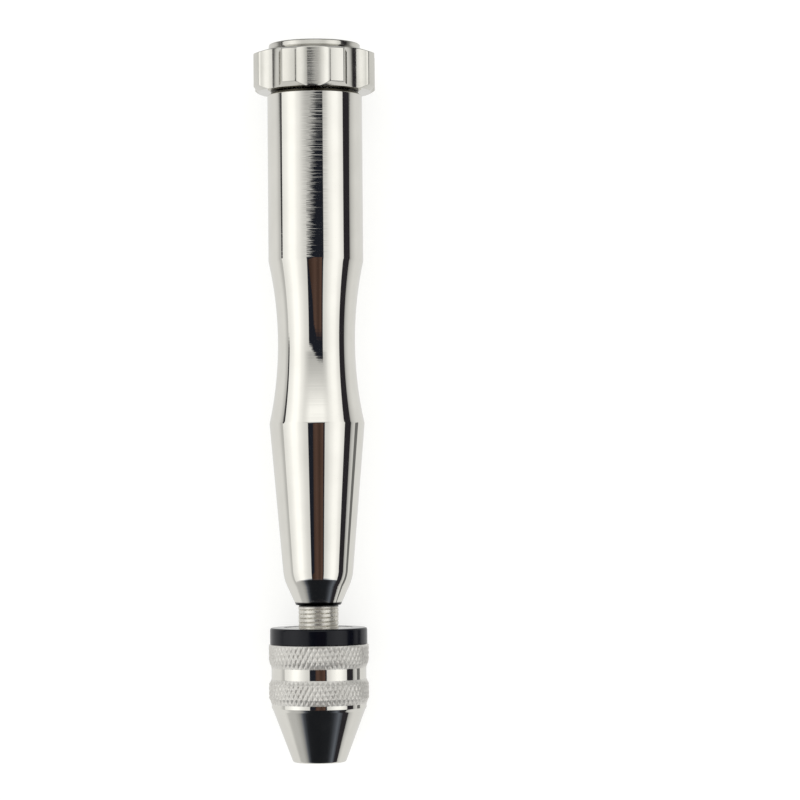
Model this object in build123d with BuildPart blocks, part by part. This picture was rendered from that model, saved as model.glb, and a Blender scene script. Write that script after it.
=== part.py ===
"""A pin vise drill: a small hand drill with a keyless three-jaw chuck and a swivelling palm cap.

The tool lies along X. The origin is on its axis at the nose face, where a bit goes in.
+X runs towards the palm cap and +Z is up. Sizes are millimetres.
"""
from build123d import *

import math
import os

# ---- driving dimensions: places along the axis (x) and radii (r) ----
# chuck sleeve, from the nose back
NOSE_R = 4.6
NOSE_ROUND = 0.45
CONE_END = (9.0, 8.0)
FRONT_BAND, BAND_R = (9.5, 10.15), 8.28
KNURL_R = 8.74
FRONT_KNURL = (11.25, 13.6)
GROOVE = (14.5, 16.45)
REAR_KNURL = (17.65, 20.4)
SLEEVE_END_X = 20.5
SLEEVE_MOUTH_R = 4.0
SLEEVE_MOUTH_LENGTH = 1.0
SLEEVE_BORE_R = 7.5
SLEEVE_SHOULDER_R = 6.9

# jaws: round rods that lean in towards the nose
JAW_ANGLE = 13
JAW_R = 1.25
JAW_BORE_R = 1.30
JAW_TIP_X = 0.7
JAW_TIP_AXIS_R = 2.55
JAW_REAR_X = 17.4
JAW_BORE_END_X = 18.0
JAW_TRIM_R = 7.4
GRIP_OPEN_R = 1.8
GRIP_CLOSED_R = 0.15
GRIP_WEDGE_GAP = 0.05
JAW_TEETH = 10
JAW_TOOTH_PITCH = 0.8
JAW_TOOTH_DEPTH = 0.3
JAW_FIRST_TOOTH_X = 9.1
JAWS = 3

# chuck body
BIT_BORE_R = 1.75
BODY_NOSE_R = 3.95
BODY_SHOULDER_R = 5.6
BODY_FLANK_R = 7.45
BODY_FLANK_END_X = 20.41
NUT_SEAT_R = 5.0
NUT_SEAT = (8.5, 11.95)
STUD_BORE_X = 17.8
BOSS_R = 6.0

# split nut and the washer behind it
NUT_X = (9.0, 11.4)
NUT_R = 7.48
NUT_CLEARANCE = 0.05
NUT_SPLIT_GAP = 0.06
THRUST_WASHER = (11.45, 11.95, 6.5, 7.4)

# snap ring that keeps the sleeve on
SNAP_RING = (18.65, 19.15, 6.85, 7.78)
SNAP_GROOVE_X = (18.6, 19.2)
SNAP_SEAT_R = 6.84
SNAP_SLEEVE_R = 7.86
SNAP_GAP = 3.0

# rear collar and threaded stud
COLLAR = (20.56, 23.4, 6.01, 8.5)
COLLAR_ROUND = 0.35
STUD_R = 3.5
STUD_FIT = 0.01
STUD_X = (18.2, 36.8)
THREAD_PITCH = 0.75
THREAD_DEPTH = 0.46
THREAD_SHOWN = (23.65, 27.1)

# handle
HANDLE_X = 27.35
HANDLE_END_R = 3.95
NECK = (31.86, 6.0)
TAPER_END = (59.0, 8.32)
WAIST = (73.2, 6.75)
GRIP_START = (87.4, 8.3)
HANDLE_TOP_X = 116.5
HANDLE_TOP_CHAMFER = 0.15
STUD_HOLE_MOUTH = 0.25
STUD_HOLE_END_X = 37.0
HOLLOW = (45.0, 104.0, 5.0)
PLUG_SEAT_R = 6.5

# end plug and thrust bearing
PLUG = (106.5, 116.4, 6.49)
BEARING_POCKET = (113.9, 5.6)
SCREW_R = 1.5
SCREW_RUN_R = 1.56
RACE_INNER_R, RACE_OUTER_R = 2.0, 5.3
LOWER_RACE_X = (113.91, 114.82)
UPPER_RACE_X = (115.58, 116.48)
BALLS = 8
BALL_R = 0.75
BALL_PITCH_R = 3.6
BALL_X = 115.2
BALL_TRACK_R = 0.78
CAGE_X = (115.0, 115.4)
CAGE_R = (2.65, 4.55)
CAGE_POCKET_R = 0.77
DUST_WASHER = (116.51, 116.93, 5.9, 7.75)

# swivel cap
CAP_X = 117.1
CAP_FLAT_R = 10.0
CAP_R = 11.0
CAP_LAND_X = (117.8, 123.6)
CAP_BEVEL = (124.6, 8.07)
CAP_TOP_X = 125.5
CAP_TOP_R = 8.0
CAP_TOP_ROUND = 0.3
FLUTES = 8
FIRST_FLUTE_ANGLE = -90  # straight down, so that the cap rests on two lands
FLUTE_R = 5.2
FLUTE_FLOOR_R = 9.75
CAP_STEM_R = 5.0
CAP_TAP_END_X = 121.0

# screw under the plug
SCREW_HEAD = (104.5, 106.0, 2.75)
SCREW_END_X = 120.5
SCREW_SOCKET = 2.5
SCREW_SOCKET_DEPTH = 1.1
SPRING_WASHER = (106.02, 106.44, 1.55, 2.75)
SPRING_WASHER_SPLIT = 0.4

# ---- values worked out from them ----
LEAN = math.tan(math.radians(JAW_ANGLE))
JAW_WIDTH_R = JAW_R / math.cos(math.radians(JAW_ANGLE))
JAW_AXIS_R_AT_NOSE = JAW_TIP_AXIS_R - JAW_TIP_X * LEAN
WEDGE_APEX_R = GRIP_OPEN_R - GRIP_CLOSED_R + GRIP_WEDGE_GAP


def jaw_axis_r(x):
    """Distance of a jaw's axis from the tool's axis at x."""
    return JAW_AXIS_R_AT_NOSE + x * LEAN


def jaw_crest_r(x):
    """Distance of a jaw's outermost line from the tool's axis at x."""
    return jaw_axis_r(x) + JAW_WIDTH_R


def outline(points):
    """A closed outline of (x, radius) points, on the plane that holds the tool's axis."""
    with BuildSketch(Plane.XZ) as drawn:
        with BuildLine():
            Polyline(*points, close=True)
        make_face()
    return drawn.sketch


def ring(x_from, x_to, r_in, r_out):
    """The outline of a plain ring."""
    return outline([(x_from, r_in), (x_from, r_out), (x_to, r_out), (x_to, r_in)])


def jaw_plane(x):
    """The plane square to a jaw's axis at x, for the jaw that is on top of the tool."""
    along = (math.cos(math.radians(JAW_ANGLE)), 0, math.sin(math.radians(JAW_ANGLE)))
    return Plane(origin=(x, 0, jaw_axis_r(x)), x_dir=(0, 1, 0), z_dir=along)


def jaw_length(x_from, x_to):
    """Distance along a jaw's axis between two places on the tool's axis."""
    return (x_to - x_from) / math.cos(math.radians(JAW_ANGLE))


# ---- chuck sleeve: the knurled outer shell that the fingers turn ----
with BuildPart() as chuck_sleeve:
    revolve(
        outline(
            [
                (0, SLEEVE_MOUTH_R),
                (0, NOSE_R),
                CONE_END,
                (FRONT_BAND[0], BAND_R),
                (FRONT_BAND[1], BAND_R),
                (FRONT_KNURL[0], KNURL_R),
                (FRONT_KNURL[1], KNURL_R),
                (GROOVE[0], BAND_R),
                (GROOVE[1], BAND_R),
                (REAR_KNURL[0], KNURL_R),
                (REAR_KNURL[1], KNURL_R),
                (SLEEVE_END_X, KNURL_R - (SLEEVE_END_X - REAR_KNURL[1])),
                (SLEEVE_END_X, SLEEVE_BORE_R),
                (SNAP_GROOVE_X[1], SLEEVE_BORE_R),
                (SNAP_GROOVE_X[1], SNAP_SLEEVE_R),
                (SNAP_GROOVE_X[0], SNAP_SLEEVE_R),
                (SNAP_GROOVE_X[0], SLEEVE_BORE_R),
                (NUT_X[0], SLEEVE_BORE_R),
                (NUT_X[0], SLEEVE_SHOULDER_R),
                (SLEEVE_MOUTH_LENGTH, SLEEVE_MOUTH_R),
            ]
        ),
        axis=Axis.X,
    )
    nose_edges = chuck_sleeve.edges().filter_by(GeomType.CIRCLE).group_by(Axis.X)[0]
    fillet(nose_edges.sort_by(SortBy.RADIUS)[-1], NOSE_ROUND)

# ---- chuck body: carries the three jaw bores, the nut's seat and the stud's thread ----
with BuildPart() as chuck_body:
    revolve(
        outline(
            [
                (0, BIT_BORE_R),
                (0, BODY_NOSE_R),
                (SLEEVE_MOUTH_LENGTH - 0.1, BODY_NOSE_R),
                (NUT_SEAT[0] - 2.0, BODY_SHOULDER_R),
                (NUT_SEAT[0], BODY_SHOULDER_R),
                (NUT_SEAT[0], NUT_SEAT_R),
                (NUT_SEAT[1], NUT_SEAT_R),
                (NUT_SEAT[1], BODY_FLANK_R),
                (SNAP_GROOVE_X[0], BODY_FLANK_R),
                (SNAP_GROOVE_X[0], SNAP_SEAT_R),
                (SNAP_GROOVE_X[1], SNAP_SEAT_R),
                (SNAP_GROOVE_X[1], BODY_FLANK_R),
                (BODY_FLANK_END_X, BODY_FLANK_R),
                (BODY_FLANK_END_X, BOSS_R),
                (COLLAR[1] - 0.05, BOSS_R),
                (COLLAR[1] - 0.05, STUD_R),
                (STUD_BORE_X, STUD_R),
                (STUD_BORE_X, BIT_BORE_R),
            ]
        ),
        axis=Axis.X,
    )
    with BuildPart(mode=Mode.PRIVATE) as jaw_bore:
        with BuildSketch(jaw_plane(-2.0)):
            Circle(JAW_BORE_R)
        extrude(amount=jaw_length(-2.0, JAW_BORE_END_X))
    for jaw_index in range(JAWS):
        add(
            jaw_bore.part,
            rotation=(jaw_index * 360 / JAWS, 0, 0),
            mode=Mode.SUBTRACT,
        )

# ---- jaws: rods with a 120 degree wedge at the tip and thread teeth along the back ----
with BuildPart() as jaw_1:
    with BuildSketch(jaw_plane(JAW_TIP_X)):
        Circle(JAW_R)
    extrude(amount=jaw_length(JAW_TIP_X, JAW_REAR_X))
    # the wedge's faces are parallel to the tool's axis, so a closed jaw grips along a line
    land_half = (GRIP_OPEN_R - WEDGE_APEX_R) * math.tan(math.radians(60))
    wedge_top = 9.0
    wedge_half = (wedge_top - WEDGE_APEX_R) * math.tan(math.radians(60))
    with BuildSketch(Plane.YZ.offset(JAW_TIP_X - 1.0)):
        with BuildLine():
            Polyline(
                (-land_half, GRIP_OPEN_R),
                (land_half, GRIP_OPEN_R),
                (wedge_half, wedge_top),
                (-wedge_half, wedge_top),
                close=True,
            )
        make_face()
    extrude(amount=JAW_REAR_X + 3.0, mode=Mode.INTERSECT)
    # the open jaw's back stays inside the sleeve, and its tip inside the nose
    revolve(ring(JAW_TIP_X, JAW_REAR_X + 1.0, 0, JAW_TRIM_R), axis=Axis.X, mode=Mode.INTERSECT)
    for tooth in range(JAW_TEETH):
        tooth_x = JAW_FIRST_TOOTH_X + tooth * JAW_TOOTH_PITCH
        tooth_r = min(jaw_crest_r(tooth_x), JAW_TRIM_R)
        tooth_half = JAW_TOOTH_PITCH * 0.4
        revolve(
            outline(
                [
                    (tooth_x, tooth_r - JAW_TOOTH_DEPTH),
                    (tooth_x + tooth_half, tooth_r + 0.15),
                    (tooth_x - tooth_half, tooth_r + 0.15),
                ]
            ),
            axis=Axis.X,
            mode=Mode.SUBTRACT,
        )

with BuildPart() as jaw_2:
    add(jaw_1.part, rotation=(360 / JAWS, 0, 0))

with BuildPart() as jaw_3:
    add(jaw_1.part, rotation=(2 * 360 / JAWS, 0, 0))

# ---- split nut: two halves of a ring, seated in the sleeve, around the jaws' teeth ----
nut_outline = outline(
    [
        (NUT_X[0] + 0.02, jaw_crest_r(NUT_X[0]) + NUT_CLEARANCE),
        (NUT_X[0] + 0.02, NUT_R),
        (NUT_X[1], NUT_R),
        (NUT_X[1], jaw_crest_r(NUT_X[1]) + NUT_CLEARANCE),
    ]
)

with BuildPart() as nut_half_a:
    revolve(nut_outline, axis=Axis.X)
    split(bisect_by=Plane.XZ.offset(NUT_SPLIT_GAP / 2), keep=Keep.TOP)

with BuildPart() as nut_half_b:
    revolve(nut_outline, axis=Axis.X)
    split(bisect_by=Plane.XZ.offset(-NUT_SPLIT_GAP / 2), keep=Keep.BOTTOM)

with BuildPart() as thrust_washer:
    revolve(ring(*THRUST_WASHER), axis=Axis.X)

# ---- snap ring: an open ring in the body's groove that stops the sleeve sliding off ----
with BuildPart() as sleeve_snap_ring:
    revolve(ring(*SNAP_RING), axis=Axis.X)
    with BuildSketch(Plane.YZ.offset(SNAP_RING[0] - 1.0)):
        with Locations((0, -(SNAP_RING[2] + SNAP_RING[3]) / 2)):
            Rectangle(SNAP_GAP, 2.0)
    extrude(amount=3.0, mode=Mode.SUBTRACT)

# ---- rear collar: the black ring that is held still while the sleeve is turned ----
with BuildPart() as rear_collar:
    revolve(ring(*COLLAR), axis=Axis.X)
    rear_rims = rear_collar.edges().filter_by(GeomType.CIRCLE).group_by(Axis.X)[-1]
    fillet(rear_rims.sort_by(SortBy.RADIUS)[-1], COLLAR_ROUND)

# ---- threaded stud: joins the chuck to the handle, with its thread bare between them ----
with BuildPart() as threaded_stud:
    revolve(ring(STUD_X[0], STUD_X[1], 0, STUD_R - STUD_FIT), axis=Axis.X)
    grooves = int((THREAD_SHOWN[1] - THREAD_SHOWN[0]) / THREAD_PITCH) + 1
    for groove in range(grooves):
        groove_x = THREAD_SHOWN[0] + THREAD_PITCH * (groove + 0.25)
        revolve(
            outline(
                [
                    (groove_x, STUD_R - THREAD_DEPTH),
                    (groove_x + THREAD_PITCH * 0.45, STUD_R + 0.02),
                    (groove_x - THREAD_PITCH * 0.45, STUD_R + 0.02),
                ]
            ),
            axis=Axis.X,
            mode=Mode.SUBTRACT,
        )
    chamfer(threaded_stud.faces().sort_by(Axis.X)[0].edges(), 0.4)
    chamfer(threaded_stud.faces().sort_by(Axis.X)[-1].edges(), 0.4)

# ---- handle: neck cone, long taper, waisted grip and a straight barrel, hollow inside ----
with BuildPart() as handle_body:
    with BuildSketch(Plane.XZ):
        with BuildLine():
            Polyline((HANDLE_X, 0), (HANDLE_X, HANDLE_END_R), NECK, TAPER_END)
            ThreePointArc(TAPER_END, WAIST, GRIP_START)
            Polyline(GRIP_START, (HANDLE_TOP_X, GRIP_START[1]), (HANDLE_TOP_X, 0), (HANDLE_X, 0))
        make_face()
    revolve(axis=Axis.X)
    chamfer(handle_body.faces().sort_by(Axis.X)[-1].edges(), HANDLE_TOP_CHAMFER)
    revolve(
        outline(
            [
                (HANDLE_X, 0),
                (HANDLE_X, STUD_R + STUD_HOLE_MOUTH),
                (HANDLE_X + STUD_HOLE_MOUTH, STUD_R),
                (STUD_HOLE_END_X, STUD_R),
                (STUD_HOLE_END_X, 0),
            ]
        ),
        axis=Axis.X,
        mode=Mode.SUBTRACT,
    )
    revolve(
        outline(
            [
                (HOLLOW[0], 0),
                (HOLLOW[0], HOLLOW[2]),
                (HOLLOW[1], HOLLOW[2]),
                (HOLLOW[1], PLUG_SEAT_R),
                (HANDLE_TOP_X, PLUG_SEAT_R),
                (HANDLE_TOP_X, 0),
            ]
        ),
        axis=Axis.X,
        mode=Mode.SUBTRACT,
    )

# ---- end plug: closes the handle and holds the bearing, the screw runs through it ----
with BuildPart() as end_plug:
    revolve(
        outline(
            [
                (PLUG[0], SCREW_RUN_R),
                (PLUG[0], PLUG[2]),
                (PLUG[1], PLUG[2]),
                (PLUG[1], BEARING_POCKET[1]),
                (BEARING_POCKET[0], BEARING_POCKET[1]),
                (BEARING_POCKET[0], SCREW_RUN_R),
            ]
        ),
        axis=Axis.X,
    )

# ---- thrust bearing: two races with ball tracks, a cage and its balls ----
with BuildPart() as lower_race:
    revolve(ring(*LOWER_RACE_X, RACE_INNER_R, RACE_OUTER_R), axis=Axis.X)
    with Locations(Plane(origin=(BALL_X, 0, 0), z_dir=(1, 0, 0))):
        Torus(BALL_PITCH_R, BALL_TRACK_R, mode=Mode.SUBTRACT)

with BuildPart() as upper_race:
    revolve(ring(*UPPER_RACE_X, RACE_INNER_R, RACE_OUTER_R), axis=Axis.X)
    with Locations(Plane(origin=(BALL_X, 0, 0), z_dir=(1, 0, 0))):
        Torus(BALL_PITCH_R, BALL_TRACK_R, mode=Mode.SUBTRACT)

with BuildPart() as ball_cage:
    revolve(ring(*CAGE_X, *CAGE_R), axis=Axis.X)
    with BuildSketch(Plane.YZ.offset(CAGE_X[0] - 0.5)):
        with PolarLocations(BALL_PITCH_R, BALLS):
            Circle(CAGE_POCKET_R)
    extrude(amount=1.5, mode=Mode.SUBTRACT)

with BuildPart(Plane.YZ.offset(BALL_X)) as bearing_balls:
    with PolarLocations(BALL_PITCH_R, BALLS):
        Sphere(BALL_R)

with BuildPart() as dust_washer:
    revolve(ring(*DUST_WASHER), axis=Axis.X)

# ---- swivel cap: the fluted palm cap that stays still while the handle turns ----
with BuildPart() as swivel_cap:
    revolve(
        outline(
            [
                (UPPER_RACE_X[1] + 0.01, 0),
                (UPPER_RACE_X[1] + 0.01, CAP_STEM_R),
                (CAP_X, CAP_STEM_R),
                (CAP_X, CAP_FLAT_R),
                (CAP_LAND_X[0], CAP_R),
                (CAP_LAND_X[1], CAP_R),
                CAP_BEVEL,
                (CAP_BEVEL[0], CAP_TOP_R),
                (CAP_TOP_X, CAP_TOP_R),
                (CAP_TOP_X, 0),
            ]
        ),
        axis=Axis.X,
    )
    fillet(swivel_cap.faces().sort_by(Axis.X)[-1].edges(), CAP_TOP_ROUND)
    with BuildSketch(Plane.YZ.offset(CAP_X - 0.5)):
        with PolarLocations(FLUTE_FLOOR_R + FLUTE_R, FLUTES, start_angle=FIRST_FLUTE_ANGLE):
            Circle(FLUTE_R)
    extrude(amount=CAP_TOP_X - CAP_X, mode=Mode.SUBTRACT)
    with BuildSketch(Plane.YZ.offset(UPPER_RACE_X[0])):
        Circle(SCREW_R + STUD_FIT)
    extrude(amount=CAP_TAP_END_X - UPPER_RACE_X[0], mode=Mode.SUBTRACT)

# ---- screw and spring washer: hold the cap down from inside the handle ----
with BuildPart() as swivel_screw:
    revolve(ring(SCREW_HEAD[0], SCREW_HEAD[1], 0, SCREW_HEAD[2]), axis=Axis.X)
    revolve(ring(SCREW_HEAD[1], SCREW_END_X, 0, SCREW_R), axis=Axis.X)
    with BuildSketch(Plane.YZ.offset(SCREW_HEAD[0])):
        RegularPolygon(SCREW_SOCKET / 2, 6, major_radius=False)
    extrude(amount=SCREW_SOCKET_DEPTH, mode=Mode.SUBTRACT)
    chamfer(swivel_screw.faces().sort_by(Axis.X)[-1].edges(), 0.2)

with BuildPart() as spring_washer:
    revolve(ring(*SPRING_WASHER), axis=Axis.X)
    with BuildSketch(Plane.YZ.offset(SPRING_WASHER[0] - 0.5)):
        with Locations((0, -(SPRING_WASHER[2] + SPRING_WASHER[3]) / 2)):
            Rectangle(SPRING_WASHER_SPLIT, 2.0)
    extrude(amount=1.5, mode=Mode.SUBTRACT)

# ---- one file for each piece ----
pieces = {
    "handle_body": handle_body,
    "threaded_stud": threaded_stud,
    "chuck_body": chuck_body,
    "rear_collar": rear_collar,
    "thrust_washer": thrust_washer,
    "sleeve_snap_ring": sleeve_snap_ring,
    "end_plug": end_plug,
    "lower_race": lower_race,
    "dust_washer": dust_washer,
    "chuck_sleeve": chuck_sleeve,
    "nut_half_a": nut_half_a,
    "nut_half_b": nut_half_b,
    "jaw_1": jaw_1,
    "jaw_2": jaw_2,
    "jaw_3": jaw_3,
    "ball_cage": ball_cage,
    "bearing_balls": bearing_balls,
    "swivel_cap": swivel_cap,
    "upper_race": upper_race,
    "swivel_screw": swivel_screw,
    "spring_washer": spring_washer,
}
os.makedirs("parts", exist_ok=True)
for name, piece in pieces.items():
    piece.part.label = name
    export_step(piece.part, f"parts/{name}.step")
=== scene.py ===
"""Looks for the pin vise drill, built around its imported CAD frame.

Metres. The tool lies along X with its nose at the origin and its palm cap towards +X. +Z is up.
Outlines are (x, radius) corners in millimetres, because the object was drawn that way.
"""
import math

import bmesh
import bpy
from mathutils import Matrix, Vector


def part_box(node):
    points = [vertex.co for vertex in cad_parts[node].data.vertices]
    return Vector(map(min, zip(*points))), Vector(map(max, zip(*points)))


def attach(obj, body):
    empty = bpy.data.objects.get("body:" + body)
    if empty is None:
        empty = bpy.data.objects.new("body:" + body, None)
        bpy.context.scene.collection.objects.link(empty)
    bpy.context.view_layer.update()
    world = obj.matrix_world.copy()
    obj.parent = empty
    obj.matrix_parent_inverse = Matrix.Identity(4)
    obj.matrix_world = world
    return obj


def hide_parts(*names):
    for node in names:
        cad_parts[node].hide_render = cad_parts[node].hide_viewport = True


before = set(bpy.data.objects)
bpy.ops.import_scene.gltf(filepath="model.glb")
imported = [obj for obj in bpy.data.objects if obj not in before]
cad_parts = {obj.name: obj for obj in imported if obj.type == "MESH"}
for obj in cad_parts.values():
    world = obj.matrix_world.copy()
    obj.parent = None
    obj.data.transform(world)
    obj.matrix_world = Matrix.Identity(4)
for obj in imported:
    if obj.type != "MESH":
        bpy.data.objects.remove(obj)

MM = 0.001
TURN = 2 * math.pi
MERGE_DISTANCE = 2e-7
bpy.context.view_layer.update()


# ---- mesh helpers ----
def rounded(corners, steps=4):
    """An outline of (x, radius) points from (x, radius, rounding) corners."""
    path = []
    for index, (x, r, rounding) in enumerate(corners):
        here = Vector((x, r))
        if not rounding:
            path.append(here)
            continue
        before = Vector(corners[index - 1][:2]) - here
        after = Vector(corners[(index + 1) % len(corners)][:2]) - here
        reach = min(rounding, 0.45 * before.length, 0.45 * after.length)
        start = here + before.normalized() * reach
        end = here + after.normalized() * reach
        for step in range(steps + 1):
            t = step / steps
            path.append(start * (1 - t) ** 2 + here * 2 * t * (1 - t) + end * t * t)
    return path


def arc_through(start, middle, end, steps):
    """Points inside a circular arc that runs through three (x, radius) points."""
    ax, ay = start
    bx, by = middle
    cx, cy = end
    d = 2 * (ax * (by - cy) + bx * (cy - ay) + cx * (ay - by))
    ux = ((ax**2 + ay**2) * (by - cy) + (bx**2 + by**2) * (cy - ay) + (cx**2 + cy**2) * (ay - by)) / d
    uy = ((ax**2 + ay**2) * (cx - bx) + (bx**2 + by**2) * (ax - cx) + (cx**2 + cy**2) * (bx - ax)) / d
    radius = math.hypot(ax - ux, ay - uy)
    first = math.atan2(ay - uy, ax - ux)
    last = math.atan2(cy - uy, cx - ux)
    turns = [first + (last - first) * step / steps for step in range(1, steps)]
    return [(ux + radius * math.cos(t), uy + radius * math.sin(t)) for t in turns]


def turned(name, column, angles, ring=False, sharp=50):
    """A turned piece: column(angle) gives its outline at that angle from +Z towards +Y.

    A ring's outline is closed. Otherwise both its ends lie on the axis.
    """
    shape = bmesh.new()
    columns = []
    for angle in angles:
        sine, cosine = math.sin(angle) * MM, math.cos(angle) * MM
        columns.append([shape.verts.new((x * MM, r * sine, r * cosine)) for x, r in column(angle)])
    rows = len(columns[0])
    for index, left in enumerate(columns):
        right = columns[(index + 1) % len(columns)]
        for row in range(rows if ring else rows - 1):
            after = (row + 1) % rows
            shape.faces.new((left[row], left[after], right[after], right[row]))
    bmesh.ops.remove_doubles(shape, verts=shape.verts, dist=MERGE_DISTANCE)
    bmesh.ops.recalc_face_normals(shape, faces=shape.faces)
    mesh = bpy.data.meshes.new(name)
    shape.to_mesh(mesh)
    shape.free()
    mesh.shade_smooth()
    mesh.set_sharp_from_angle(angle=math.radians(sharp))
    piece = bpy.data.objects.new(name, mesh)
    bpy.context.scene.collection.objects.link(piece)
    weighted = piece.modifiers.new("weighted_normals", "WEIGHTED_NORMAL")
    weighted.keep_sharp = True
    return piece


def around(count):
    """Evenly spaced angles for a full turn."""
    return [TURN * index / count for index in range(count)]


def extent(node):
    """(first x, last x, largest radius) of a round CAD node, in millimetres."""
    low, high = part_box(node)
    return low.x / MM, high.x / MM, max(high.y, high.z) / MM


def install(piece, material, body, node):
    """Gives a piece its material and puts it in place of a CAD node, on that node's body."""
    piece.data.materials.append(material)
    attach(piece, body)
    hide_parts(node)
    return piece


# ---- shader helpers ----
class Shader:
    """A small builder for one node tree."""

    def __init__(self, tree):
        self.tree = tree
        tree.nodes.clear()

    def node(self, kind, **settings):
        made = self.tree.nodes.new(kind)
        for key, value in settings.items():
            setattr(made, key, value)
        return made

    def put(self, socket, value):
        if isinstance(value, bpy.types.NodeSocket):
            self.tree.links.new(value, socket)
        else:
            socket.default_value = value

    def math(self, operation, *values):
        made = self.node("ShaderNodeMath", operation=operation)
        for socket, value in zip(made.inputs, values):
            self.put(socket, value)
        return made.outputs[0]

    def ramp(self, value, low, high, to_low=0.0, to_high=1.0, smooth=True):
        """Maps value from low..high to to_low..to_high, held outside."""
        kind = "SMOOTHSTEP" if smooth else "LINEAR"
        made = self.node("ShaderNodeMapRange", interpolation_type=kind)
        for socket, given in zip(made.inputs, (value, low, high, to_low, to_high)):
            self.put(socket, given)
        return made.outputs["Result"]

    def curve(self, value, reach, points, top, smooth=False):
        """A line through (value, result) points.

        Values run from -reach to reach, and results from -top to top.
        """
        share = self.ramp(value, -reach, reach, 0.0, 1.0, smooth=False)
        made = self.node("ShaderNodeFloatCurve")
        line = made.mapping.curves[0]
        line.points[0].location = (0.0, points[0][1] / (2 * top) + 0.5)
        line.points[1].location = (1.0, points[-1][1] / (2 * top) + 0.5)
        for at, result in points:
            line.points.new(at / (2 * reach) + 0.5, result / (2 * top) + 0.5)
        for point in line.points:
            point.handle_type = "AUTO" if smooth else "VECTOR"
        made.mapping.update()
        self.put(made.inputs["Value"], share)
        return self.ramp(made.outputs[0], 0.0, 1.0, -top, top, smooth=False)

    def between(self, value, low, high, edge):
        """1 where value is between low and high, with soft edges."""
        rise = self.ramp(value, low - edge / 2, low + edge / 2)
        fall = self.ramp(value, high - edge / 2, high + edge / 2)
        return self.math("SUBTRACT", rise, fall)

    def mix(self, share, one, other):
        made = self.node("ShaderNodeMix", data_type="RGBA")
        colours = [s for s in made.inputs if s.type == "RGBA"]
        self.put(made.inputs[0], share)
        self.put(colours[0], one)
        self.put(colours[1], other)
        return [s for s in made.outputs if s.type == "RGBA"][0]

    def blend(self, share, one, other):
        """A number between one and other."""
        made = self.node("ShaderNodeMix", data_type="FLOAT")
        self.put(made.inputs[0], share)
        self.put(made.inputs[2], one)
        self.put(made.inputs[3], other)
        return made.outputs[0]

    def scaled(self, colour, amount):
        made = self.node("ShaderNodeVectorMath", operation="SCALE")
        self.put(made.inputs[0], colour)
        self.put(made.inputs["Scale"], amount)
        return made.outputs[0]

    def axes(self, space):
        """The x, y and z of a texture space."""
        place = self.node("ShaderNodeTexCoord")
        parts = self.node("ShaderNodeSeparateXYZ")
        self.tree.links.new(place.outputs[space], parts.inputs[0])
        return parts.outputs["X"], parts.outputs["Y"], parts.outputs["Z"]

    def split_by_ray(self, plain, mirrored, output):
        """Sends mirrored to the rays that leave a mirror, and plain to all others."""
        path = self.node("ShaderNodeLightPath")
        chosen = self.node("ShaderNodeMixShader")
        self.put(chosen.inputs[0], path.outputs["Is Glossy Ray"])
        self.tree.links.new(plain.outputs[0], chosen.inputs[1])
        self.tree.links.new(mirrored.outputs[0], chosen.inputs[2])
        self.tree.links.new(chosen.outputs[0], output.inputs["Surface"])

    def noise(self, scale, stretch, detail=3.0, roughness=0.55, offset=0.0):
        """Noise in the object's own space, stretched by a scale on each axis."""
        place = self.node("ShaderNodeTexCoord")
        mapped = self.node("ShaderNodeMapping")
        self.tree.links.new(place.outputs["Object"], mapped.inputs["Vector"])
        mapped.inputs["Scale"].default_value = stretch
        mapped.inputs["Location"].default_value = (offset, offset, offset)
        made = self.node("ShaderNodeTexNoise")
        self.tree.links.new(mapped.outputs[0], made.inputs["Vector"])
        made.inputs["Scale"].default_value = scale
        made.inputs["Detail"].default_value = detail
        made.inputs["Roughness"].default_value = roughness
        return made.outputs["Fac"]

    def bump(self, height, depth, normal=None):
        made = self.node("ShaderNodeBump")
        made.inputs["Strength"].default_value = 1.0
        made.inputs["Distance"].default_value = depth
        self.tree.links.new(height, made.inputs["Height"])
        if normal is not None:
            self.tree.links.new(normal, made.inputs["Normal"])
        return made.outputs[0]


def rgb(red, green, blue):
    """A linear colour from 0 to 255 screen values."""
    def linear(value):
        value /= 255
        return value / 12.92 if value <= 0.04045 else ((value + 0.055) / 1.055) ** 2.4
    return (linear(red), linear(green), linear(blue), 1.0)


# ---- materials ----
PLATE_BRIGHT, PLATE_DULL = rgb(243, 241, 234), rgb(238, 236, 229)
# painted shade: the near-black of the shadowed gap where the stud enters the handle
PAINTED_JOINT_SHADE = rgb(16, 15, 16)


def start_surface(name):
    """A new material with one Principled surface, and its shader builder."""
    material = bpy.data.materials.new(name)
    material.use_nodes = True
    shader = Shader(material.node_tree)
    output = shader.node("ShaderNodeOutputMaterial")
    surface = shader.node("ShaderNodeBsdfPrincipled")
    shader.tree.links.new(surface.outputs[0], output.inputs["Surface"])
    return material, shader, surface


def object_x(shader):
    """The object's own x, in metres."""
    return shader.axes("Object")[0]


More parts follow.
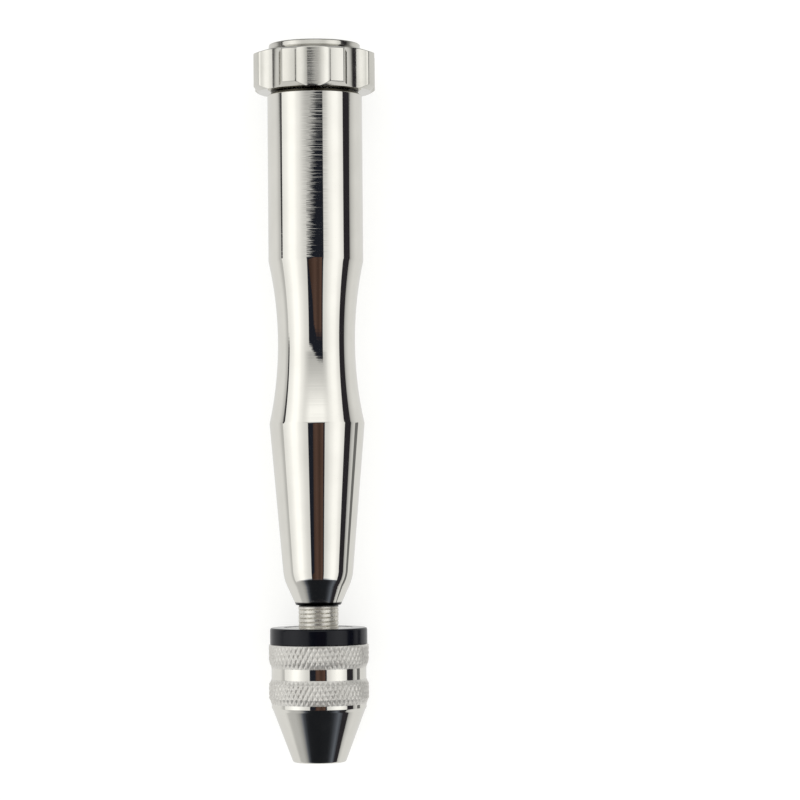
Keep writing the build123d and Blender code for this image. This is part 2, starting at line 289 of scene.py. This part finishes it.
def metal(name, bright, dull, roughness, rings=0.0, ring_size=0.35, coarse=(), scratches=0.0, painted_joint_shade=None):
    """A plated or cut metal.

    rings is the depth in micrometres of the lathe's fine rings, and ring_size their width in
    millimetres. coarse holds (from x, to x, depth) stretches where the rings are deeper. The last
    argument is a (fully dark, not dark) pair of x, between which painted shade, standing in for
    the shadow in a joint's gap, fades out.
    """
    material, shader, surface = start_surface(name)
    surface.inputs["Metallic"].default_value = 1.0
    clouds = shader.noise(160.0, (1, 1, 1), detail=4.0)
    colour = shader.mix(shader.ramp(clouds, 0.35, 0.7), bright, dull)
    # painted shade: near-black colour on the end that meets the joint's gap
    if painted_joint_shade:
        colour = shader.mix(shader.ramp(object_x(shader), painted_joint_shade[0] * MM, painted_joint_shade[1] * MM), PAINTED_JOINT_SHADE, colour)
    shader.put(surface.inputs["Base Color"], colour)
    smears = shader.noise(420.0, (1, 1, 1), detail=5.0, offset=3.0)
    shader.put(surface.inputs["Roughness"], shader.ramp(smears, 0.3, 0.75, roughness * 0.7, roughness * 1.5))

    normal = None
    if rings:
        deepest = max([rings] + [depth for start, end, depth in coarse])
        height = shader.noise(1.0 / (ring_size * MM), (1, 0.012, 0.012), detail=2.0, roughness=0.6)
        share = rings / deepest
        x = object_x(shader)
        for start, end, depth in coarse:
            zone = shader.between(x, start * MM, end * MM, 0.3 * MM)
            share = shader.math("MULTIPLY_ADD", zone, (depth - rings) / deepest, share)
        height = shader.math("MULTIPLY", height, share)
        normal = shader.bump(height, deepest * 1e-6)
    if scratches:
        marks = shader.noise(900.0, (1, 0.25, 0.6), detail=6.0, roughness=0.7, offset=9.0)
        normal = shader.bump(marks, scratches * 1e-6, normal)
    if normal is not None:
        shader.put(surface.inputs["Normal"], normal)
    return material


def sleeve_metal(name, bands):
    """The sleeve's plate: polished, but satin and a little dusty on its knurled bands."""
    material, shader, surface = start_surface(name)
    x = object_x(shader)
    zones = [shader.between(x, start * MM, end * MM, 0.1 * MM) for start, end in bands]
    knurl = shader.math("ADD", *zones)
    shader.put(surface.inputs["Metallic"], shader.math("MULTIPLY_ADD", knurl, -0.32, 1.0))
    clouds = shader.noise(160.0, (1, 1, 1), detail=4.0)
    polished = shader.mix(shader.ramp(clouds, 0.35, 0.7), PLATE_BRIGHT, PLATE_DULL)
    dust = shader.noise(3000.0, (1, 1, 1), detail=4.0, roughness=0.7, offset=4.0)
    satin = shader.mix(shader.ramp(dust, 0.4, 0.75), rgb(228, 226, 221), rgb(205, 202, 195))
    shader.put(surface.inputs["Base Color"], shader.mix(knurl, polished, satin))
    smears = shader.noise(420.0, (1, 1, 1), detail=5.0, offset=3.0)
    gloss = shader.ramp(smears, 0.3, 0.75, 0.035, 0.08)
    shader.put(surface.inputs["Roughness"], shader.math("MULTIPLY_ADD", knurl, 0.27, gloss))
    fine = shader.noise(4000.0, (1, 0.012, 0.012), detail=2.0, roughness=0.6)
    grain = shader.noise(5000.0, (1, 1, 1), detail=3.0, offset=9.0)
    height = shader.math("MULTIPLY_ADD", shader.math("MULTIPLY", grain, knurl), 8.0, fine)
    shader.put(surface.inputs["Normal"], shader.bump(height, 0.5e-6))
    return material


def gloss_black(name, face_x):
    """The collar's black coat, with a faint orange-peel and dust. Its end face at face_x is smoother."""
    material, shader, surface = start_surface(name)
    dust = shader.noise(2600.0, (1, 1, 1), detail=5.0, roughness=0.7)
    colour = shader.mix(shader.ramp(dust, 0.6, 0.85), rgb(7, 9, 18), rgb(34, 38, 50))
    shader.put(surface.inputs["Base Color"], colour)
    surface.inputs["Specular IOR Level"].default_value = 0.3
    soft = shader.noise(500.0, (1, 1, 1), detail=3.0, offset=5.0)
    side_roughness = shader.ramp(soft, 0.3, 0.7, 0.12, 0.2)
    on_face = shader.ramp(object_x(shader), (face_x - 0.04) * MM, (face_x - 0.01) * MM)
    smoother = shader.math("MULTIPLY_ADD", on_face, -0.95, 1.0)
    shader.put(surface.inputs["Roughness"], shader.math("MULTIPLY", side_roughness, smoother))
    peel = shader.noise(1400.0, (1, 1, 1), detail=2.0, offset=7.0)
    peel = shader.math("MULTIPLY", peel, smoother)
    shader.put(surface.inputs["Normal"], shader.bump(peel, 3e-6))
    return material


def thread_metal(name, joint_x):
    """The stud's plate: satin on the thread, with painted shade, near-black and not metallic, where it enters
    the handle at joint_x.
    """
    material, shader, surface = start_surface(name)
    clouds = shader.noise(400.0, (1, 1, 1), detail=4.0)
    satin = shader.mix(shader.ramp(clouds, 0.35, 0.7), rgb(232, 229, 221), rgb(218, 214, 204))
    # painted shade: the thread goes near-black just before joint_x, where the gap's shadow falls
    painted_joint_shade = shader.ramp(object_x(shader), (joint_x - 0.45) * MM, (joint_x - 0.15) * MM)
    shader.put(surface.inputs["Base Color"], shader.mix(painted_joint_shade, satin, PAINTED_JOINT_SHADE))
    shader.put(surface.inputs["Metallic"], shader.math("MULTIPLY_ADD", painted_joint_shade, -0.8, 0.8))
    shader.put(surface.inputs["Roughness"], shader.ramp(clouds, 0.3, 0.7, 0.2, 0.34))
    marks = shader.noise(6000.0, (1, 0.1, 0.1), detail=3.0, offset=9.0)
    shader.put(surface.inputs["Normal"], shader.bump(marks, 0.3e-6))
    return material


# stretches of the handle and the sleeve: x, or (x, radius), in millimetres
HANDLE_START, HANDLE_END = extent("handle_body")[:2]
NECK_END = (31.86, 6.0)
TAPER_END, WAIST, GRIP_START = (59.0, 8.32), (73.2, 6.75), (87.4, 8.3)
CONE_END = (9.0, 8.0)
FRONT_BAND, BAND_R = (9.5, 10.15), 8.28
FRONT_KNURL, GROOVE, REAR_KNURL = (11.25, 13.6), (14.5, 16.45), (17.65, 20.4)
SLEEVE_END, KNURL_R = extent("chuck_sleeve")[1:]
KNURL_DEPTH = 0.19

handle_plate = metal(
    "handle_plate",
    PLATE_BRIGHT,
    PLATE_DULL,
    0.03,
    rings=1.0,
    ring_size=0.3,
    coarse=[
        (TAPER_END[0], GRIP_START[0], 4.0),
        (GRIP_START[0], HANDLE_END, 9.0),
        (HANDLE_START, NECK_END[0], 7.0),
    ],
    # painted shade: the handle's end goes dark beside the stud's shadowed gap
    painted_joint_shade=(HANDLE_START + 0.35, HANDLE_START + 0.6),
)
cap_plate = metal(
    "cap_plate",
    rgb(230, 228, 221),
    rgb(221, 219, 211),
    0.1,
    rings=7.0,
    ring_size=0.2,
    scratches=2.0,
)
sleeve_plate = sleeve_metal(
    "sleeve_plate",
    [(FRONT_BAND[1], GROOVE[0]), (GROOVE[1], SLEEVE_END)],
)
thread_plate = thread_metal("thread_plate", HANDLE_START)
collar_black = gloss_black("collar_black", extent("rear_collar")[1])
turned_steel = metal("turned_steel", rgb(205, 203, 198), rgb(180, 178, 172), 0.16, rings=2.0, ring_size=0.2)
ground_steel = metal("ground_steel", rgb(176, 177, 180), rgb(150, 150, 154), 0.2, scratches=1.5)
hard_steel = metal("hard_steel", rgb(158, 156, 154), rgb(120, 116, 112), 0.25, scratches=2.0)
bearing_steel = metal("bearing_steel", rgb(218, 218, 220), rgb(200, 200, 203), 0.06, rings=0.5, ring_size=0.1)
dull_washer = metal("dull_washer", rgb(82, 78, 68), rgb(60, 57, 49), 0.3, rings=1.0, ring_size=0.1)
turned_brass = metal("turned_brass", rgb(222, 192, 122), rgb(196, 160, 92), 0.14, rings=1.5, ring_size=0.2)
stamped_brass = metal("stamped_brass", rgb(226, 198, 130), rgb(204, 170, 100), 0.18, scratches=1.5)
black_steel = metal("black_steel", rgb(92, 92, 96), rgb(64, 64, 68), 0.3, scratches=2.0)


# ---- swivel cap ----
FLUTES = 8
FLUTE_R, FLUTE_FLOOR = 5.2, 9.75
STEM_START, CAP_TOP = extent("swivel_cap")[:2]
CAP_R = 11.0  # on the lands: the node's box is narrower, because flutes lie at its sides
STEM_R, TAP_R, TAP_END = 5.0, 1.51, 121.0
CAP_X, CAP_FLAT_R = 117.1, 10.0
LAND_START, LAND_END = 117.8, 123.6
BEVEL_END, BEVEL_R = 124.6, 8.07
CAP_TOP_R, TOP_INNER_R = 8.0, 3.0
SECTOR = TURN / FLUTES
EDGE_ROUND = 0.35
EDGE_BAND = math.radians(2.8)
FLUTE_STEPS, EDGE_STEPS, LAND_STEPS = 16, 32, 6
WALL_MARGIN = 0.35
FLUTE_CENTRE = FLUTE_FLOOR + FLUTE_R
FLUTE_EDGE = math.acos((CAP_R**2 + FLUTE_CENTRE**2 - FLUTE_R**2) / (2 * CAP_R * FLUTE_CENTRE))


def wall_radius(angle):
    """Distance from the axis to the cap's fluted wall, with a softly broken edge."""
    off = (angle + SECTOR / 2) % SECTOR - SECTOR / 2
    inside = FLUTE_R**2 - (FLUTE_CENTRE * math.sin(off)) ** 2
    if inside <= 0:
        return CAP_R
    flute = FLUTE_CENTRE * math.cos(off) - math.sqrt(inside)
    blend = max(EDGE_ROUND - abs(flute - CAP_R), 0) / EDGE_ROUND
    return min(flute, CAP_R) - blend * blend * EDGE_ROUND / 4


def cap_angles():
    """Angles that crowd together at the edges between flutes and lands."""
    edge_start, edge_end = FLUTE_EDGE - EDGE_BAND, FLUTE_EDGE + EDGE_BAND
    half = [edge_start * step / FLUTE_STEPS for step in range(FLUTE_STEPS)]
    half += [edge_start + 2 * EDGE_BAND * step / EDGE_STEPS for step in range(EDGE_STEPS)]
    rest = SECTOR / 2 - FLUTE_EDGE - EDGE_BAND
    half += [edge_end + rest * step / LAND_STEPS for step in range(LAND_STEPS)]
    sector = half + [SECTOR / 2] + [SECTOR - angle for angle in reversed(half[1:])]
    return [SECTOR * flute + angle for flute in range(FLUTES) for angle in sector]


def cap_column(angle):
    """The cap's outline at one angle, from the bottom of the screw's hole round to the top."""
    wall = wall_radius(angle)
    chamfer = (LAND_START - CAP_X) / (CAP_R - CAP_FLAT_R)
    bevel = (BEVEL_END - LAND_END) / (CAP_R - BEVEL_R)
    wall_start = CAP_X + max(wall - CAP_FLAT_R, 0.02) * chamfer
    wall_end = LAND_END + (CAP_R - wall) * bevel
    return rounded(
        [
            (TAP_END, 0.0, 0),
            (TAP_END, TAP_R, 0),
            (STEM_START, TAP_R, 0),
            (STEM_START, STEM_R, 0),
            (CAP_X, STEM_R, 0),
            (CAP_X, min(CAP_FLAT_R, wall - 0.02), 0.08),
            (wall_start, wall, 0.08),
            (wall_start + WALL_MARGIN, wall, 0),
            (wall_end - WALL_MARGIN, wall, 0),
            (wall_end, wall, 0.12),
            (BEVEL_END, BEVEL_R, 0.05),
            (BEVEL_END + 0.02, CAP_TOP_R, 0.02),
            (CAP_TOP, CAP_TOP_R, 0.3),
            (CAP_TOP, TOP_INNER_R, 0),
            (CAP_TOP, 0.0, 0),
        ]
    )


install(turned("palm_cap", cap_column, cap_angles()), cap_plate, "cap", "swivel_cap")


# ---- handle ----
STUD_HOLE_R, STUD_HOLE_END, HOLE_CHAMFER = 3.5, 37.0, 0.12
PLUG_SEAT_R, HOLLOW_R, HOLLOW = 6.5, 5.0, (45.0, 104.0)
NECK_START_R = 3.95


def handle_outline():
    """From the stud's hole, round the outside, to the hollow inside."""
    waist = [(x, r, 0) for x, r in arc_through(TAPER_END, WAIST, GRIP_START, 40)]
    return rounded(
        [
            (STUD_HOLE_END, 0.0, 0),
            (STUD_HOLE_END, STUD_HOLE_R, 0),
            (HANDLE_START + HOLE_CHAMFER, STUD_HOLE_R, 0),
            (HANDLE_START, STUD_HOLE_R + HOLE_CHAMFER, 0),
            (HANDLE_START, NECK_START_R, 0.03),
            (*NECK_END, 1.3),
            (*TAPER_END, 0.2),
        ]
        + waist
        + [
            (*GRIP_START, 0.2),
            (HANDLE_END, GRIP_START[1], 0.15),
            (HANDLE_END, PLUG_SEAT_R, 0),
            (HOLLOW[1], PLUG_SEAT_R, 0),
            (HOLLOW[1], HOLLOW_R, 0),
            (HOLLOW[0], HOLLOW_R, 0),
            (HOLLOW[0], 0.0, 0),
        ]
    )


handle_path = handle_outline()
handle = turned("turned_handle", lambda angle: handle_path, around(192))
install(handle, handle_plate, "handle", "handle_body")


# ---- chuck sleeve ----
KNURL_TEETH = 60
KNURL_SLANT = math.radians(28)
TEETH_PER_MM = math.tan(KNURL_SLANT) * KNURL_TEETH / (TURN * KNURL_R)
SHALLOW_SET = 0.85
GROOVE_STEEPNESS = 1.18
KNURL_ROWS = 48
KNURL_FADE = 0.7
BAND_MARGIN = 0.05
COLUMNS_PER_TOOTH = 12
SLEEVE_LIP_R = 8.6
NOSE_R, NOSE_BORE_R, NOSE_BORE_END = 4.6, 4.0, 1.0
SLEEVE_BORE_R, BORE_START, SHOULDER_R = 7.5, 9.0, 6.9
SNAP_GROOVE, SNAP_GROOVE_R = (18.6, 19.2), 7.86


def groove_depth(teeth):
    """1 in the bottom of a knurl groove and 0 on top of a ridge."""
    return 1 - min(abs(2 * (teeth % 1.0) - 1) * GROOVE_STEEPNESS, 1.0)


def knurl_cut(x, angle):
    """1 in the deepest knurl groove, 0 on a crest: a deep slanting set crossed by a shallower one."""
    along = x * TEETH_PER_MM
    turn = angle * KNURL_TEETH / TURN
    return max(groove_depth(turn + along), SHALLOW_SET * groove_depth(turn - along))


def band_rows(start, first_full, last_full, end, end_r):
    """(x, radius, share of the knurl's depth) rows across a knurled band with chamfered ends."""
    rows = []
    for row in range(KNURL_ROWS + 1):
        x = start + (end - start) * row / KNURL_ROWS
        if x < first_full:
            r = BAND_R + (KNURL_R - BAND_R) * (x - start) / (first_full - start)
        elif x > last_full:
            r = KNURL_R + (end_r - KNURL_R) * (x - last_full) / (end - last_full)
        else:
            r = KNURL_R
        share = min(1.0, (x - start) / KNURL_FADE, (end - x) / KNURL_FADE)
        rows.append((x, r, share))
    return rows


front_rows = band_rows(FRONT_BAND[1], *FRONT_KNURL, GROOVE[0], BAND_R)
rear_rows = band_rows(GROOVE[1], *REAR_KNURL, SLEEVE_END, SLEEVE_LIP_R)
nose_path = rounded(
    [
        (NOSE_BORE_END, NOSE_BORE_R, 0),
        (0.0, NOSE_BORE_R, 0.06),
        (0.0, NOSE_R, 0.45),
        (*CONE_END, 0.1),
        (FRONT_BAND[0], BAND_R, 0.1),
        (FRONT_BAND[0] + 2 * BAND_MARGIN, BAND_R, 0),
        (FRONT_BAND[1] - BAND_MARGIN, BAND_R, 0),
    ]
)
groove_path = [(GROOVE[0] + BAND_MARGIN, BAND_R), (GROOVE[1] - BAND_MARGIN, BAND_R)]
# the inside: the snap ring's groove, the nut's seat and the bore's shoulder
inner_path = [
    (SLEEVE_END, SLEEVE_BORE_R),
    (SNAP_GROOVE[1], SLEEVE_BORE_R),
    (SNAP_GROOVE[1], SNAP_GROOVE_R),
    (SNAP_GROOVE[0], SNAP_GROOVE_R),
    (SNAP_GROOVE[0], SLEEVE_BORE_R),
    (BORE_START, SLEEVE_BORE_R),
    (BORE_START, SHOULDER_R),
]


def sleeve_column(angle):
    """The sleeve's closed outline at one angle: nose, bands and groove, then the inside."""
    front = [(x, r - KNURL_DEPTH * share * knurl_cut(x, angle)) for x, r, share in front_rows]
    rear = [(x, r - KNURL_DEPTH * share * knurl_cut(x, angle)) for x, r, share in rear_rows]
    return [tuple(point) for point in nose_path] + front + groove_path + rear + inner_path


sleeve = turned("knurled_sleeve", sleeve_column, around(COLUMNS_PER_TOOTH * KNURL_TEETH), ring=True, sharp=70)
install(sleeve, sleeve_plate, "sleeve", "chuck_sleeve")


# ---- rear collar ----
COLLAR_START, COLLAR_END, COLLAR_R = extent("rear_collar")
COLLAR_BORE_R = 6.01
collar_path = rounded(
    [
        (COLLAR_START, COLLAR_BORE_R, 0),
        (COLLAR_START, COLLAR_R, 0.08),
        (COLLAR_END, COLLAR_R, 0.45),
        (COLLAR_END, COLLAR_BORE_R, 0),
    ],
    steps=8,
)
collar = turned("black_collar", lambda angle: collar_path, around(160), ring=True)
install(collar, collar_black, "handle", "rear_collar")


# ---- threaded stud ----
STUD_START, STUD_END, STUD_R = extent("threaded_stud")
PITCH, THREAD_DEPTH = 0.75, 0.18
THREAD_START, THREAD_END = 22.6, 28.0
THREAD_ROWS = 144
CREST_SHARE = 0.4
FADE_RATE = 12
STUD_CHAMFER = 0.4


def stud_column(angle):
    """A right-handed thread with broad rounded crests, between two plain ends."""
    end_r = STUD_R - STUD_CHAMFER
    points = [(STUD_START, 0.0), (STUD_START, end_r), (STUD_START + STUD_CHAMFER, STUD_R)]
    for row in range(THREAD_ROWS + 1):
        share = row / THREAD_ROWS
        x = THREAD_START + (THREAD_END - THREAD_START) * share
        fade = min(1.0, FADE_RATE * share, FADE_RATE * (1 - share))
        flank = abs(2 * ((x / PITCH + angle / TURN) % 1.0) - 1)
        form = math.sin(min(flank / CREST_SHARE, 1.0) * math.pi / 2)
        points.append((x, STUD_R - THREAD_DEPTH * (1 - form) * fade))
    return points + [(STUD_END - STUD_CHAMFER, STUD_R), (STUD_END, end_r), (STUD_END, 0.0)]


stud = turned("stud_thread", stud_column, around(120), sharp=75)
install(stud, thread_plate, "handle", "threaded_stud")


# ---- dust washer in the gap under the cap ----
WASHER_START, WASHER_END, WASHER_R = extent("dust_washer")
WASHER_BORE_R = 5.9
dust_path = rounded(
    [
        (WASHER_START, WASHER_BORE_R, 0),
        (WASHER_START, WASHER_R, 0.1),
        (WASHER_END, WASHER_R, 0.1),
        (WASHER_END, WASHER_BORE_R, 0),
    ]
)
dust = turned("gap_washer", lambda angle: dust_path, around(128), ring=True)
install(dust, dull_washer, "handle", "dust_washer")


# ---- CAD pieces that keep their shape ----
cad_materials = {
    "chuck_body": turned_steel,
    "thrust_washer": hard_steel,
    "sleeve_snap_ring": hard_steel,
    "end_plug": turned_brass,
    "lower_race": bearing_steel,
    "upper_race": bearing_steel,
    "bearing_balls": bearing_steel,
    "ball_cage": stamped_brass,
    "nut_half_a": hard_steel,
    "nut_half_b": hard_steel,
    "jaw_1": ground_steel,
    "jaw_2": ground_steel,
    "jaw_3": ground_steel,
    "swivel_screw": black_steel,
    "spring_washer": hard_steel,
}
for node, material in cad_materials.items():
    for material_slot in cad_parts[node].material_slots:
        material_slot.material = material


# ---- floor: a hair below the knurl's and the two cap lands' lowest points ----
FLOOR_GAP = 2e-5
cap_contact = Vector((LAND_START * MM, 0, -CAP_R * math.cos(FLUTE_EDGE) * MM))
knurl_contact = Vector((FRONT_KNURL[0] * MM, 0, -KNURL_R * MM))
floor_slope = (knurl_contact.z - cap_contact.z) / (cap_contact.x - knurl_contact.x)
floor_data = bpy.data.meshes.new("floor")
floor_shape = bmesh.new()
bmesh.ops.create_grid(floor_shape, x_segments=8, y_segments=8, size=1.6)
floor_shape.to_mesh(floor_data)
floor_shape.free()
floor = bpy.data.objects.new("floor", floor_data)
floor.rotation_euler = (0, math.atan(floor_slope), 0)
floor.location = cap_contact + Vector((0, 0, -FLOOR_GAP))
bpy.context.scene.collection.objects.link(floor)


# what a mirror finds on the floor, in metres of the floor's own X and Y, which start under the cap
BEYOND_CAP = (0.008, 0.03)
STRIP_ACROSS, STRIP_ALONG = (-0.052, -0.030), (-0.115, -0.055)
STRIP_DARKNESS, STRIP_EDGE = 0.78, 0.003


def paint_floor():
    """White to the eye. A mirror sees it greyer, fading with distance to a dark far edge on the -Y side.

    A mirror also finds it dimmer beyond the cap, with a dark strip beside the handle.
    """
    material = bpy.data.materials.new("floor_paint")
    material.use_nodes = True
    paint = Shader(material.node_tree)
    output = paint.node("ShaderNodeOutputMaterial")
    direct = paint.node("ShaderNodeBsdfPrincipled")
    direct.inputs["Base Color"].default_value = (0.5, 0.5, 0.498, 1)
    direct.inputs["Roughness"].default_value = 1.0
    direct.inputs["Specular IOR Level"].default_value = 0.0
    direct.inputs["Emission Color"].default_value = (1, 1, 0.985, 1)
    direct.inputs["Emission Strength"].default_value = 0.62
    x, y, _ = paint.axes("Object")
    tones = [(-0.5, 0.0), (-0.43, 0.0), (-0.38, 0.3), (-0.17, 0.42), (-0.065, 0.62), (-0.035, 0.73)]
    tones += [(0.045, 0.75), (0.12, 0.54), (0.5, 0.5)]
    tone = paint.curve(y, 0.5, tones, 1.0)
    beyond_cap = paint.ramp(x, *BEYOND_CAP, 1.0, 0.35)
    tone = paint.math("MULTIPLY", tone, beyond_cap)
    across = paint.between(y, *STRIP_ACROSS, STRIP_EDGE)
    strip = paint.math("MULTIPLY", across, paint.between(x, *STRIP_ALONG, STRIP_EDGE))
    tone = paint.math("MULTIPLY_ADD", paint.math("MULTIPLY", strip, tone), -STRIP_DARKNESS, tone)
    seen = paint.node("ShaderNodeEmission")
    seen.inputs["Color"].default_value = (1, 1, 0.99, 1)
    paint.put(seen.inputs["Strength"], paint.math("MAXIMUM", tone, 0.02))
    paint.split_by_ray(direct, seen, output)
    return material


floor_data.materials.append(paint_floor())


# ---- studio: a softbox on each side, a dark opening overhead, a low dark flag and a dark line ----
OPENING_SIDES = (-21.0, 20.3)
RIGHT_FLAG = (73.0, 92.5)
LEFT_LINE = (-93.6, -86.4)
BOX_FRONT = 28.0


def studio(world):
    """Directions are told by two angles: side, from straight up towards -Y, and fore, towards -X."""
    world.use_nodes = True
    shader = Shader(world.node_tree)
    output = shader.node("ShaderNodeOutputWorld")
    x, y, z = shader.axes("Generated")
    right = shader.math("MULTIPLY", y, -1.0)
    side = shader.math("DEGREES", shader.math("ARCTAN2", right, z))
    fore = shader.math("MULTIPLY", shader.math("DEGREES", shader.math("ARCSINE", x)), -1.0)

    # the two softboxes, brightest in their middles and dim beyond their rear ends
    glow = [(-100, 0.82), (-86, 0.86), (-74, 0.98), (-57, 1.17), (-42, 0.95), (-25, 0.72), (0, 0.62)]
    glow += [(24, 0.74), (38, 0.96), (52, 1.1), (64, 0.94), (73, 0.8), (100, 0.7)]
    boxes = shader.curve(side, 180.0, glow, 1.5, smooth=True)
    boxes = shader.math("MULTIPLY", boxes, shader.ramp(fore, -40.0, -28.0, 0.34, 1.0))
    # the wall behind the opening, brightest some way from it
    wall = [(-60, 0.35), (-40, 0.4), (-23, 1.08), (-17, 0.8), (-12, 0.58), (-8, 0.5), (-6, 0.36)]
    wall += [(60, 0.36)]
    back_wall = shader.curve(fore, 60.0, wall, 1.5)
    middle = shader.between(side, -26.0, 26.0, 24.0)
    behind = shader.math("MULTIPLY", middle, shader.ramp(fore, -5.0, -7.0))
    light = shader.blend(behind, boxes, back_wall)
    # in front of the softboxes the room is dark, with a dim wall on the left and a faint one on the right
    dim = [(-110, 0.53), (-90, 0.5), (-74, 0.48), (-65, 0.4), (-57, 0.28), (-48, 0.08), (-38, 0.02)]
    dim += [(-28, 0.013), (0, 0.012), (36, 0.016), (45, 0.03), (54, 0.07), (63, 0.13), (71, 0.07)]
    dim += [(80, 0.045), (110, 0.04)]
    room = shader.curve(side, 180.0, dim, 1.0)
    in_front = shader.ramp(fore, BOX_FRONT - 2.0, BOX_FRONT + 2.0)
    level = shader.blend(in_front, light, room)
    cool = shader.mix(shader.ramp(side, -60.0, -45.0), (1.0, 1.0, 0.99, 1), (0.88, 0.97, 1.16, 1))
    seen = shader.scaled(shader.mix(in_front, (1.0, 1.0, 0.99, 1), cool), level)

    # the dark opening: its rear edge slants, and its middle looks into something brown
    rear = [(-60, -2.4), (-21, -3.6), (-13, -4.8), (-6, -6.2), (0, -7.3), (6, -8.2), (20, -8.6), (60, -8.8)]
    rear_edge = shader.curve(side, 60.0, rear, 15.0)
    past_rear = shader.ramp(shader.math("SUBTRACT", fore, rear_edge), -0.4, 0.4)
    opening = shader.math("MULTIPLY", shader.between(side, *OPENING_SIDES, 1.6), past_rear)
    opening = shader.math("MULTIPLY", opening, shader.ramp(fore, BOX_FRONT + 4.0, BOX_FRONT))
    brown_from = [(-6, 12), (-2, 3), (2.2, -6), (9, -8.5), (19, -18), (60, -18)]
    brown_edge = shader.curve(fore, 60.0, brown_from, 30.0)
    brown = shader.ramp(shader.math("SUBTRACT", side, brown_edge), -1.5, 1.5)
    brown = shader.math("MULTIPLY", brown, shader.ramp(side, 17.5, 16.0))
    brown = shader.math("MULTIPLY", brown, shader.ramp(fore, -3.0, 1.0))
    glows = [(-20, 0.3), (-12, 0.55), (-1, 1.0), (7, 0.58), (14, 1.0), (20, 1.0)]
    warm = shader.scaled((0.095, 0.055, 0.042), shader.curve(side, 60.0, glows, 1.5))
    hole = shader.mix(brown, (0.013, 0.015, 0.022, 1), warm)
    seen = shader.mix(opening, seen, hole)

    # a low dark flag on the right, and a dark line on the left that the nose end does not see
    right_flag = shader.between(side, *RIGHT_FLAG, 1.5)
    left_line = shader.math("MULTIPLY", shader.between(side, *LEFT_LINE, 0.8), shader.ramp(fore, -1.0, -4.0))
    seen = shader.mix(shader.math("MAXIMUM", right_flag, left_line), seen, (0.024, 0.022, 0.026, 1))

    mirror_light = shader.node("ShaderNodeBackground")
    shader.put(mirror_light.inputs["Color"], seen)
    soft_light = shader.node("ShaderNodeBackground")
    soft_light.inputs["Color"].default_value = (0.98, 0.98, 0.97, 1)
    shader.split_by_ray(soft_light, mirror_light, output)


world = bpy.data.worlds.new("studio")
studio(world)
bpy.context.scene.world = world
bpy.context.scene.view_settings.view_transform = "Standard"


# ---- camera: above the handle's taper, with the palm cap at the top of the picture ----
CAMERA_HEIGHT = 0.53
EYE_X, LOOK_X, SIDE_Y = 0.048, 0.063, -0.01454
LEAN = math.radians(0.48)
SENSOR, LENS = 36.0, 136.3

camera_data = bpy.data.cameras.new("camera")
camera_data.sensor_width = SENSOR
camera_data.lens = LENS
camera_data.clip_start = 0.01
camera = bpy.data.objects.new("camera", camera_data)
bpy.context.scene.collection.objects.link(camera)
camera.location = (EYE_X, SIDE_Y, CAMERA_HEIGHT)
back = (camera.location - Vector((LOOK_X, SIDE_Y, 0))).normalized()
across = Vector((math.cos(LEAN), -math.sin(LEAN), 0)).cross(back).normalized()
camera.rotation_euler = Matrix((across, back.cross(across), back)).transposed().to_euler()
bpy.context.scene.camera = camera
